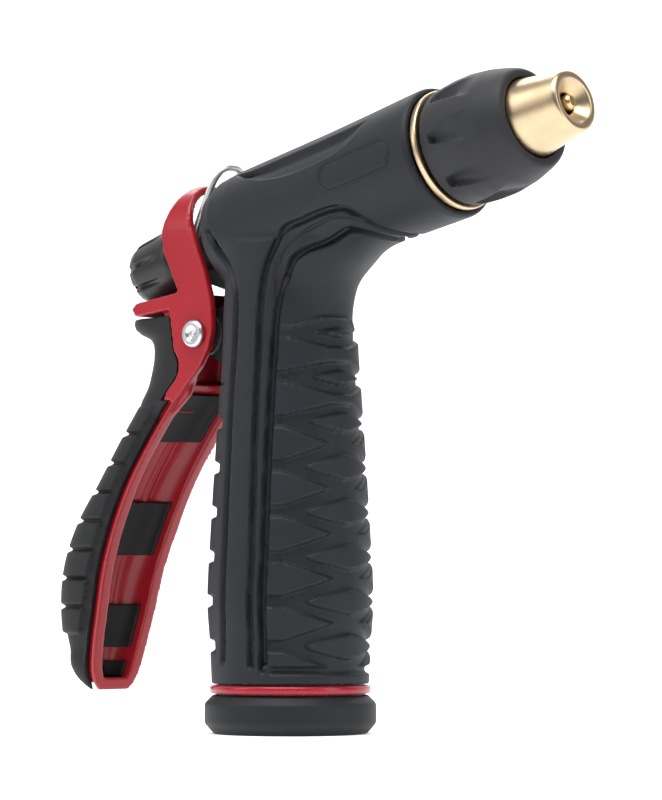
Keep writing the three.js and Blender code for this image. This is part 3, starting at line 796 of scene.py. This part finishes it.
def hose_thread():
    """The screw thread cut in the hose socket, as a thin lining with a winding ridge."""
    def winding(radius, height, angle):
        turns = height / THREAD_PITCH - angle / (2 * math.pi)
        ridge = np.clip(1.35 * (1 - 2 * np.abs(turns % 1 - 0.5)) - 0.15, 0, 1)
        ends = ease(height, 1.8, 3.2) * (1 - ease(height, 8, 9.4))
        return np.where(radius < HOSE_SOCKET - 0.15, radius - THREAD_DEPTH * ridge * ends, radius)

    lining = turned("hose_thread", [(HOSE_SOCKET - 0.02, 1.7), (HOSE_SOCKET - 0.02, 9.8),
                                    (HOSE_SOCKET - 0.25, 9.8), (HOSE_SOCKET - 0.25, 1.7)], 128, 0, "grip",
                    winding, longest=0.2)
    return fitted(lining, "body", "body_zinc", sharp_degrees=50)


def base_boot():
    boot = turned("base_boot_rubber", [(15.2, 0), (BOOT_RADIUS - 2.1, 0), (BOOT_RADIUS, 2.5),
                                       (BOOT_RADIUS, 6.8),
                                       (BOOT_RADIUS - 1.9, BOOT_HEIGHT), (RING_BORE, BOOT_HEIGHT),
                                       (RING_BORE, 1.3), (15.2, 1.3)], 160, 0.55, "grip", longest=0.8)
    return fitted(boot, "body", "boot_rubber", "base_boot")


def base_ring():
    low, high = BOOT_HEIGHT + GAP, JACKET_BOTTOM - GAP
    ring = turned("base_ring_plastic", [(RING_BORE, low), (RING_RADIUS, low), (RING_RADIUS, high),
                                        (RING_BORE, high)], 160, 0.9, "grip")
    return fitted(ring, "body", "ring_plastic", "base_ring")


# ---- lever ----

channel_front = smooth_curve([(8.8, -55.2), (13.4, -54.5), (20.4, -52.9), (27.3, -51.1), (36.5, -48.8),
                              (45.5, -45.2), (54.5, -40.7), (62, -35.8), (72.7, -27.4), (79, -21.3)])
pad_rear = smooth_curve([(8.8, -59.5), (11.5, -63.6), (16, -66.6), (22, -68.8), (31, -69.3), (39, -67.6),
                         (48, -62.8), (57, -55.4), (66, -48.8), (76, -41.3), (82, -38.6), (86, -37.8),
                         (89, -38.8),
                         (90.6, -43), (92.2, -45.2), (94, -45)])
lever_half_width = smooth_curve([(8.8, 4.6), (10.4, 6.2), (13.4, 7.7), (20.4, 8.8), (27.3, 9.4), (36.5, 10),
                                 (47, 10.6), (60, PLATE_OUTER), (94, PLATE_OUTER)])
SIDE_PLATE = [(-25.5, 74.8), (-21.5, 78.8), (-17.8, 82.6), (-15.4, 86.4), (-14.1, 91), (-14.5, 97),
              (-16.4, 103.5), (-18.8, 109), (-20.8, 113.6), (-30.2, 113.6), (-29.6, 109.2), (-27.3, 104.5),
              (-25, 99.9), (-27.6, 95.5), (-26.9, 91), (-26.2, 86.5), (-24.6, 83.6), (-24.9, 80.6),
              (-28.3, 77), (-29.4, 75)]
LEDGE = [(-26, 95.8), (-25, 99.4), (-38.2, 97.4), (-39.4, 96), (-38.4, 94.3), (-28.6, 95.4)]
TUB_TOP = [(-23, 76), (-21, 80), (-24.2, 96.5), (-30.6, 96.5), (-30.6, 86), (-31.6, 80), (-34.5, 74),
           (-30, 70)]
TUB_TOP_HOLLOW = [(-8, 70), (-8, 94), (-28.9, 94), (-28.9, 86), (-29.9, 80), (-33, 73.5), (-30, 66)]


def wall_point(z, turn, front, rear, half):
    """A point of the lever's outline at height z: flat across the front, rounded across the back."""
    flat = math.pi / 3
    away = abs(turn)
    if away < flat:
        return (front, half * turn / flat, z)
    bend = (away - flat) / (math.pi - flat) * math.pi / 2
    across = math.copysign(max(math.cos(bend), 0) ** 0.8, turn)
    return (front + (rear - front) * math.sin(bend) ** 0.8, half * across, z)


def lever_block(name, heights, front_at, rear_at, half_at, columns=72):
    def ring(z, share):
        turn = share * 2 * math.pi
        turn = turn - 2 * math.pi if turn > math.pi else turn
        return wall_point(z, turn, float(front_at(z)), float(rear_at(z)), float(half_at(z)))

    return lofted(name, heights, columns, ring)


def spread(low, high, step):
    return np.linspace(low, high, max(2, round((high - low) / step) + 1))


def crown(name):
    """The top of the arch: half a ring over the stem, narrowing to its middle."""
    inner = PLATE_OUTER - PLATE_THICKNESS

    def corner_at(turn, share):
        corner = round(share * 4)
        radius = PLATE_OUTER if corner < 2 else inner
        rise = math.sin(turn)
        x = -20.8 - 3 * rise if corner in (0, 3) else -30.2 + 3.4 * rise
        return (x, -radius * math.cos(turn), ARCH_CENTRE + radius * rise)

    return lofted(name, np.linspace(0, math.pi, 49), 4, corner_at)


def lever_shell():
    rim = lever_block("lever_metal", spread(8.8, 79, 1.5), channel_front,
                      lambda z: channel_front(z) - EDGE_STRIP,
                      lever_half_width)
    tub = lever_block("tub", spread(10.4, 79, 1.5), channel_front, lambda z: channel_front(z) - CHANNEL_DEPTH,
                      lambda z: lever_half_width(z) - PAD_SIDE)
    inner, tub_half = PLATE_OUTER - PLATE_THICKNESS, PLATE_OUTER - PAD_SIDE
    nub_x, _, nub_z = barrel_point(-29, 1.4)
    nubs = [cross_rod("nub", [(0, low), (1.5, low), (1.5, high), (0, high)], nub_x, nub_z, 32, 0.3)
            for low, high in ((-9.5, -5.4), (5.4, 9.5))]
    tub_top = plate("tub_top", TUB_TOP, -tub_half, tub_half)
    top_hollow = plate("tub_top_hollow", TUB_TOP_HOLLOW, -tub_half + LEVER_WALL, tub_half - LEVER_WALL)
    combine(tub_top, [top_hollow], "DIFFERENCE")
    hollow = lever_block("hollow", [11.6, *spread(13.4, 80, 1.5)], lambda z: channel_front(z) + 2,
                         lambda z: channel_front(z) - CHANNEL_DEPTH + LEVER_WALL,
                         lambda z: lever_half_width(z) - PAD_SIDE - LEVER_WALL)
    combine(rim, [tub], "UNION")
    combine(rim, [hollow], "DIFFERENCE")
    ribs = [wire_tube("channel_rib", [(float(channel_front(z)) - CHANNEL_DEPTH + LEVER_WALL + 0.1, y, z)
                                      for z in spread(15, 68, 2)], 0.75) for y in (-2.6, 2.6)]
    side_plates = [plate("near_plate", SIDE_PLATE, -PLATE_OUTER, -inner),
                   plate("far_plate", SIDE_PLATE, inner, PLATE_OUTER)]
    ledge = plate("ledge", LEDGE, -PLATE_OUTER, PLATE_OUTER)
    combine(rim, [*side_plates, ledge, tub_top, crown("crown"), *nubs, *ribs], "UNION")
    knob_room = turned("knob_room", [(0, -60), (8.8, -60), (8.8, -31), (0, -31)], 64, 0)
    rivet_hole = cross_rod("rivet_hole", [(0, -12), (1.9, -12), (1.9, 12), (0, 12)], PIVOT_X, PIVOT_Z, 32, 0)
    combine(rim, [knob_room, rivet_hole], "DIFFERENCE")
    remeshed(rim, 0.36, rounding=5)
    return fitted(rim, "lever", "lever_paint", "lever_shell", sharp_degrees=0)


def channel_liners():
    """The bands of rubber that pass through the channel and show inside it."""
    pieces = []
    for number, (low, high) in enumerate([(11.8, 15.4), (18.6, 28.6), (40.0, 52.2), (66.0, 76.6)]):
        rows, shares = spread(low, high, 0.8), np.linspace(-1, 1, 61)
        points = []
        for depth in (0.1, -1.15):
            for z in rows:
                front = float(channel_front(z))
                rear = front - CHANNEL_DEPTH + LEVER_WALL - depth
                half = float(lever_half_width(z)) - PAD_SIDE - LEVER_WALL + depth
                for share in shares:
                    turn = math.copysign(math.pi - abs(share) * math.radians(105), share if share else 1)
                    points.append(wall_point(z, turn, front, rear, half))
        rows_n, cols_n = len(rows), len(shares)
        faces = []
        for layer in (0, 1):
            start = layer * rows_n * cols_n
            faces += [(start + i * cols_n + j, start + i * cols_n + j + 1, start + (i + 1) * cols_n + j + 1,
                       start + (i + 1) * cols_n + j) for i in range(rows_n - 1) for j in range(cols_n - 1)]
        edge = [i * cols_n for i in range(rows_n)] + [(rows_n - 1) * cols_n + j for j in range(1, cols_n)]
        edge += [i * cols_n + cols_n - 1 for i in range(rows_n - 2, -1, -1)] + list(range(cols_n - 2, 0, -1))
        other = rows_n * cols_n
        faces += [(a, b, other + b, other + a) for a, b in zip(edge, edge[1:] + edge[:1])]
        band = new_piece(f"channel_band_{number + 1}", points, faces)
        remeshed(band, 0.3, rounding=3)
        pieces.append(fitted(band, "lever", "pad_rubber", sharp_degrees=0))
    return pieces


PAD_BEHIND_PLATE = [(-10, 74.4), (-10, 100), (-28.2, 100), (-27.9, 95.3), (-27.2, 91), (-26.5, 86.4),
                    (-25, 83.5),
                    (-25.3, 80.5), (-28.7, 77), (-30.4, 75)]
PAD_BEHIND_TUB = [(-18, 68), (-18, 98), (-30.9, 98), (-30.9, 86), (-31.9, 80), (-34.9, 74), (-31, 68)]
BLOCK_LOW, BLOCK_PITCH, BLOCK_COUNT = 24.8, 6.6, 8


def finger_blocks(points):
    """How far the back of the rubber is sunk between its raised blocks."""
    x, _, z = points.T
    behind_rim = channel_front(z) - EDGE_STRIP - x
    nearest = np.clip(np.round((z - BLOCK_LOW) / BLOCK_PITCH), 0, BLOCK_COUNT - 1)
    across = 3.2 - behind_rim
    along = np.abs(z - BLOCK_LOW - nearest * BLOCK_PITCH) - 2.75
    edge = np.hypot(np.maximum(across, -0.6) + 0.6, np.maximum(along, -0.6) + 0.6) - 0.6
    edge = np.where((across < -0.6) & (along < -0.6), -1.0, edge)
    zone = ease(z, 14, 19) * (1 - ease(z, 71, 75.5)) * ease(behind_rim, 0.2, 1.2)
    return 1.1 * zone * ease(edge, -0.25, 0.45)


def lever_pad():
    heights = spread(8.8, 94, 1.2)
    pad = lever_block("lever_pad_rubber", heights,
                      lambda z: np.where(z < 78, channel_front(z) - EDGE_STRIP - GAP, -24.5), pad_rear,
                      lambda z: lever_half_width(z) - 0.1, 96)
    remeshed(pad, 0.36, rounding=4)
    points = get_points(pad)
    centre = np.stack([channel_front(points[:, 2]) - 6, 0 * points[:, 1], points[:, 2]], 1)
    away = points - centre
    away /= np.linalg.norm(away, axis=1)[:, None]
    set_points(pad, points - finger_blocks(points)[:, None] * away)
    tub = lever_block("tub_room", [7, *spread(10.4, 79, 1.5)], lambda z: channel_front(z) + 1,
                      lambda z: channel_front(z) - CHANNEL_DEPTH - GAP,
                      lambda z: lever_half_width(z) - PAD_SIDE + GAP)
    tub_half = PLATE_OUTER - PAD_SIDE + GAP
    rooms = [tub, plate("behind_tub", PAD_BEHIND_TUB, -tub_half, tub_half),
             plate("behind_near", PAD_BEHIND_PLATE, -12, -tub_half + 0.5),
             plate("behind_far", PAD_BEHIND_PLATE, tub_half - 0.5, 12)]
    combine(pad, rooms, "DIFFERENCE")
    return fitted(pad, "lever", "pad_rubber", "lever_pad", sharp_degrees=50)


def pivot_rivet():
    face = PLATE_OUTER + GAP
    half = [(3.15, face), (3.15, face + 0.55), (2.75, face + 1.1), (1.7, face + 1.1), (1.25, face + 0.75),
            (0.7, face + 0.6), (0, face + 0.75)]
    outline = [(r, -h) for r, h in reversed(half)] + [(1.6, -face), (1.6, face)] + half
    rivet = cross_rod("pivot_rivet_steel", outline, PIVOT_X, PIVOT_Z, 96, 0.25)
    return fitted(rivet, "lever", "rivet_steel", "pivot_rivet")


# ---- knob, stem and tip ----


def adjuster_knob():
    flutes = 9

    def fluted(radius, height, angle):
        share = np.abs(np.mod(angle * flutes / (2 * math.pi), 1) - 0.5) * 2
        zone = 1 - ease(height, -42, -33.4)
        sunk = 1.15 * zone * ease(share, 0.62, 0.97)
        return np.where(radius > 5.5, radius - sunk, radius)

    knob = turned("adjuster_knob_plastic", [(3.9, -31.8), (8, -31.8), (8.4, -33), (8, -39), (7.6, -43.5),
                                            (6.6, -45.6), (5, -46.5), (0, -46.5), (0, -45.3),
                                            (STEM_BORE, -45.3),
                                            (STEM_BORE, -39.3), (3.9, -39.3)], 192, 0.6, shape=fluted,
                  longest=0.4)
    return fitted(knob, "knob", "knob_plastic", "adjuster_knob", sharp_degrees=45)


def tip_nozzle():
    brass = turned("tip_nozzle_brass", [(6.8, 31), (9.3, 31), (9.3, 32.7), (7.6, 32.7), (7.6, 35.3),
                                        (9.3, 35.3),
                                        (9.3, 48.6), (13.5, 48.6), (13.5, 50.2), (9.8, 50.2), (9.8, 70.6),
                                        (8.8, 70.6), (8.7, 72), (6.85, 83.5), (6.35, 84), (5.2, 84),
                                        (2.3, 81.5),
                                        (2.3, 79), (6.8, 70)], 160, 0.45, longest=1.5)
    return fitted(brass, "tip", "tip_brass", "tip_nozzle", sharp_degrees=35)


def tip_sleeve():
    scallops = 8

    def scalloped(radius, height, angle):
        place = np.mod(angle * scallops / (2 * math.pi) + 0.5, 1) - 0.5
        off_centre = place * 360 / scallops
        half = 5.5 + 10 * np.clip((height - 53.4) / 12, 0, 1)
        across = np.clip(1 - (off_centre / half) ** 2, 0, 1) ** 0.6
        lean = 1 + 0.35 * np.clip(off_centre / half, -1, 1)
        sunk = 1.7 * across * lean * ease(height, 53.2, 53.9) * (1 - ease(height, 56, 67))
        return np.where(radius > 11, radius - sunk, radius)

    sleeve = turned("tip_sleeve_rubber", [(10.1, 50.6), (12.7, 50.6), (13.3, 52.5), (13.7, 57), (13.7, 61),
                                          (13, 66),
                                          (11.9, 70), (11.2, 71.8), (10.5, 72.3), (9.1, 72.3), (9.1, 70.9),
                                          (10.1, 70.9)], 320, 0.5, shape=scalloped, longest=0.3)
    return fitted(sleeve, "tip", "sleeve_rubber", "tip_sleeve", sharp_degrees=50)


INNER_PIECES = [
    # piece, frame node, body, slot, outline on the barrel axis
    ("stem_brass", "valve_stem", "stem", "inner_brass",
     [(0, -44.5), (1.6, -44.5), (2, -44), (2, 75), (1.7, 76), (1.7, 82.6), (1.1, 83.3), (0, 83.3)]),
    ("plug_rubber", "valve_plug", "stem", "seal_rubber",
     [(2.3, 20), (6.2, 20), (6.2, 23.6), (4, 25.6), (2.3, 25.6)]),
    ("plug_washer_brass", "plug_washer", "stem", "inner_brass",
     [(2.3, 18.2), (5, 18.2), (5, 19.7), (2.3, 19.7)]),
    ("stem_clip_steel", "stem_clip", "stem", "wire_steel",
     [(2.3, 10.6), (4.7, 10.6), (4.7, 11.8), (2.3, 11.8)]),
    ("valve_seat_brass", "valve_seat", "body", "inner_brass", [(4.6, 26), (9.3, 26), (9.3, 29), (4.6, 29)]),
    ("gland_packing_rubber", "gland_packing", "body", "seal_rubber",
     [(2.3, -22.4), (3.7, -22.4), (3.7, -20.3), (2.3, -20.3)]),
    ("thrust_washer_steel", "thrust_washer", "knob_carrier", "wire_steel",
     [(2.3, -31.5), (7.2, -31.5), (7.2, -30.8), (2.3, -30.8)]),
    ("knob_insert_brass", "knob_insert", "knob", "inner_brass",
     [(2.3, -39), (3.6, -39), (3.6, -32.2), (2.3, -32.2)]),
]


def inner_pieces():
    for name, node, body, slot, outline in INNER_PIECES:
        fitted(turned(name, outline, 96, 0.2), body, slot, node)
    oring = turned("tip_oring_rubber", [(7.7, 33.0), (9.3, 33.0), (9.3, 35.0), (7.7, 35.0)], 96, 0.75)
    fitted(oring, "tip_carrier", "seal_rubber", "tip_oring")
    washer = turned("hose_washer_rubber", [(8.2, 10.2), (12.9, 10.2), (12.9, 13), (8.2, 13)], 96, 0.35,
                    "grip")
    fitted(washer, "body", "seal_rubber", "hose_washer")
    nut = turned("gland_nut_brass", [(2.3, -28), (5.2, -28), (5.2, -26.8), (2.3, -26.8)], 6, 0)
    shank = turned("gland_shank", [(2.3, -27), (3.7, -27), (3.7, -22.7), (2.3, -22.7)], 64, 0)
    combine(nut, [shank], "UNION")
    fitted(nut, "body", "inner_brass", "gland_nut", sharp_degrees=30)


def return_spring():
    turns, radius, rear, front = 7, 3.7, -11.1, 10.1
    route = []
    for share in np.linspace(0, 1, turns * 36 + 1):
        angle = 2 * math.pi * turns * share
        lead = share + 0.045 * math.sin(2 * math.pi * share)
        place = rear + (front - rear) * lead
        route.append(barrel_point(place, radius * math.cos(angle), radius * math.sin(angle)))
    spring = wire_tube("return_spring_steel", route, 0.45, 12)
    fitted(spring, "body", "wire_steel", "return_spring")
    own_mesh(spring)
    return spring


def hold_open_clip():
    foot = barrel_point(CLIP_S, CLIP_UP)
    top_x, top_z = -18.0, 128.0

    def at(share, y):
        return (foot[0] + (top_x - foot[0]) * share, y, foot[2] + (top_z - foot[2]) * share)

    def leg(sign):
        return [at(0, sign * 4.4), at(0, sign * 5.6), at(0, sign * 6.5), at(0.06, sign * 6.8),
                at(0.2, sign * 6.6),
                at(0.55, sign * 5.7), at(0.8, sign * 4.9), at(0.93, sign * 3.6), at(0.985, sign * 2)]

    route = [*leg(-1), at(1, 0), *reversed(leg(1))]
    wire = wire_tube("hold_open_wire", spline(route, 220), WIRE_RADIUS, 20)
    return fitted(wire, "clip", "wire_steel", "hold_open_clip", sharp_degrees=0)


# ---- floor, light and camera ----


def stage_and_light():
    depth, width, bend, height = 1.1, 3.2, 0.5, 1.9
    profile = [(-2.0, 0.0), (depth - bend, 0.0)]
    profile += [(depth - bend + bend * math.sin(a), bend - bend * math.cos(a))
                for a in np.linspace(0, math.pi / 2, 20)[1:]]
    profile.append((depth, height))
    heading = math.radians(CAMERA_AZIMUTH)
    ahead = Vector((-math.sin(heading), math.cos(heading), 0))
    aside = Vector((math.cos(heading), math.sin(heading), 0))
    data = bpy.data.meshes.new("backdrop")
    points = [ahead * a + aside * b + Vector((0, 0, z)) for b in (-width, width) for a, z in profile]
    count = len(profile)
    data.from_pydata(points, [], [(i, i + 1, count + i + 1, count + i) for i in range(count - 1)])
    data.polygons.foreach_set("use_smooth", [True] * len(data.polygons))
    backdrop = bpy.data.objects.new("backdrop", data)
    bpy.context.scene.collection.objects.link(backdrop)
    paper, tree, surface = new_material("backdrop_paper", Specular_IOR_Level=0.2, Emission_Strength=0.42,
                                        Emission_Color=(1.0, 1.0, 1.0, 1.0))
    tone = between(tree, noise(tree, 6.0), 0.0, 1.0)
    colour = mixed_colour(tree, tone, (0.90, 0.90, 0.905), (0.92, 0.92, 0.925))
    tree.links.new(colour, surface.inputs["Base Color"])
    tree.links.new(between(tree, noise(tree, 40.0), 0.85, 0.95), surface.inputs["Roughness"])
    data.materials.append(paper)

    world = bpy.data.worlds.new("studio")
    bpy.context.scene.world = world
    world.use_nodes = True
    world.node_tree.nodes["Background"].inputs["Color"].default_value = (0.97, 0.98, 1.0, 1)
    world.node_tree.nodes["Background"].inputs["Strength"].default_value = 0.16
    middle = Vector((0.0, 0.0, 0.075))
    for name, azimuth, elevation, distance, size, power in LIGHTS:
        lamp = bpy.data.lights.new(name, "AREA")
        lamp.shape = "RECTANGLE"
        lamp.size, lamp.size_y = size
        lamp.energy = power
        holder = bpy.data.objects.new(name, lamp)
        bpy.context.scene.collection.objects.link(holder)
        a, e = math.radians(azimuth), math.radians(elevation)
        holder.location = middle + distance * Vector((math.sin(a) * math.cos(e), -math.cos(a) * math.cos(e),
                                                      math.sin(e)))
        holder.rotation_euler = (middle - holder.location).to_track_quat("-Z", "Y").to_euler()


CAMERA_AZIMUTH = 42.4
CAMERA_DISTANCE, CAMERA_HEIGHT = 0.909, 0.035
SENSOR_WIDTH, FOCAL_LENGTH = 36.0, 182.7
AIM_ASIDE = math.radians(0.57153)  # aimed a little right of the middle, and up by this slope
AIM_SLOPE = 0.043522
LIGHTS = [
    # name, azimuth, elevation, distance, size, power
    ("top_softbox", 30, 68, 0.9, (0.9, 0.6), 11.5),
    ("left_softbox", -35, 32, 1.0, (0.4, 0.9), 3.0),
    ("right_softbox", 105, 20, 1.0, (0.35, 0.9), 2.4),
    ("rear_softbox", 215, 50, 1.0, (0.9, 0.5), 4),
]


def camera():
    lens = bpy.data.cameras.new("camera")
    lens.sensor_width, lens.lens = SENSOR_WIDTH, FOCAL_LENGTH
    lens.clip_start, lens.clip_end = 0.05, 20
    holder = bpy.data.objects.new("camera", lens)
    bpy.context.scene.collection.objects.link(holder)
    a = math.radians(CAMERA_AZIMUTH)
    holder.location = (CAMERA_DISTANCE * math.sin(a), -CAMERA_DISTANCE * math.cos(a), CAMERA_HEIGHT)
    heading = Vector((-math.sin(a - AIM_ASIDE), math.cos(a - AIM_ASIDE), AIM_SLOPE))
    holder.rotation_euler = heading.to_track_quat("-Z", "Y").to_euler()
    bpy.context.scene.camera = holder


camera()
stage_and_light()
body_casting()
hose_thread()
grip_jacket()
base_boot()
base_ring()
lever_shell()
channel_liners()
lever_pad()
pivot_rivet()
adjuster_knob()
tip_nozzle()
tip_sleeve()
inner_pieces()
return_spring()
hold_open_clip()
bpy.context.scene.view_settings.view_transform = "Standard"
